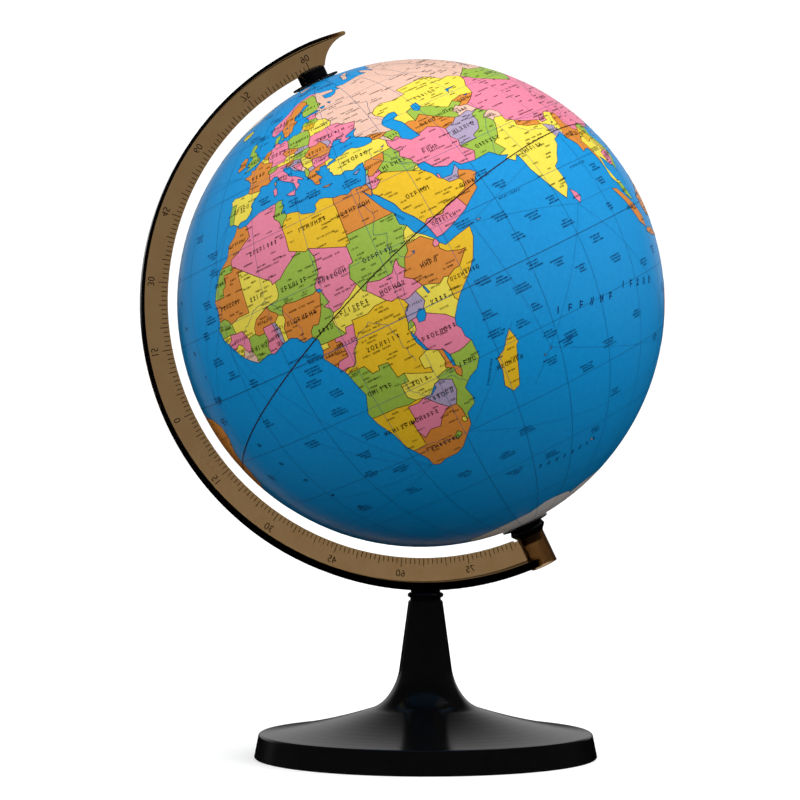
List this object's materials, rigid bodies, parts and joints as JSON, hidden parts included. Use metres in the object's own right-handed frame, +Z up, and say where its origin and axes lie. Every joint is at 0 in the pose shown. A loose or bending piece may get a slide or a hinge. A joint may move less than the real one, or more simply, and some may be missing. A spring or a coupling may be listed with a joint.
{
  "type": "desktop globe on stand",
  "caption": "Desktop terrestrial globe: a printed ball turning on a tilted axle in a smoke-brown clear meridian arm, on a black trumpet-shaped base.",
  "frame": {"origin": "centre of the base's resting face, on the column's axis", "axes": "+Z up along the column; the arm lies in the XZ plane with the north pole leaning towards -X; the ball's front at rest faces -Y"},
  "size_m": [0.215, 0.2, 0.2978],
  "materials": {
    "base_black": "glossy moulded black",
    "cover_black": "fine texture moulded black",
    "trim_black": "glossy moulded black",
    "foot_rubber": "matt rubber",
    "zinc_steel": "zinc plated",
    "smoke_clear": "clear smoke-brown moulded",
    "printed_ball": "printed and lacquered",
    "natural_plastic": "uncoloured moulded"
  },
  "bodies": {
    "stand": {"base_shell": "base_black", "bottom_cover": "cover_black", "cover_screws": "zinc_steel", "rubber_feet": "foot_rubber", "ballast_plate": "zinc_steel", "arm_screw": "zinc_steel", "arm_screw_washer": "zinc_steel", "meridian_arm": "smoke_clear", "north_boss": "trim_black", "north_washer": "trim_black", "south_plug": "trim_black", "south_washer": "trim_black", "axle_rod": "zinc_steel"},
    "ball": {"globe_north_half": "printed_ball", "globe_south_half": "printed_ball", "equator_band": "natural_plastic", "north_bush": "natural_plastic", "south_bush": "natural_plastic"}
  },
  "joints": [
    {"name": "globe_spin", "type": "hinge", "parent": "stand", "child": "ball", "pos_m": [-0.002, 0, 0.186], "axis": [-0.4337, 0, 0.9011], "continuous": true}
  ]
}
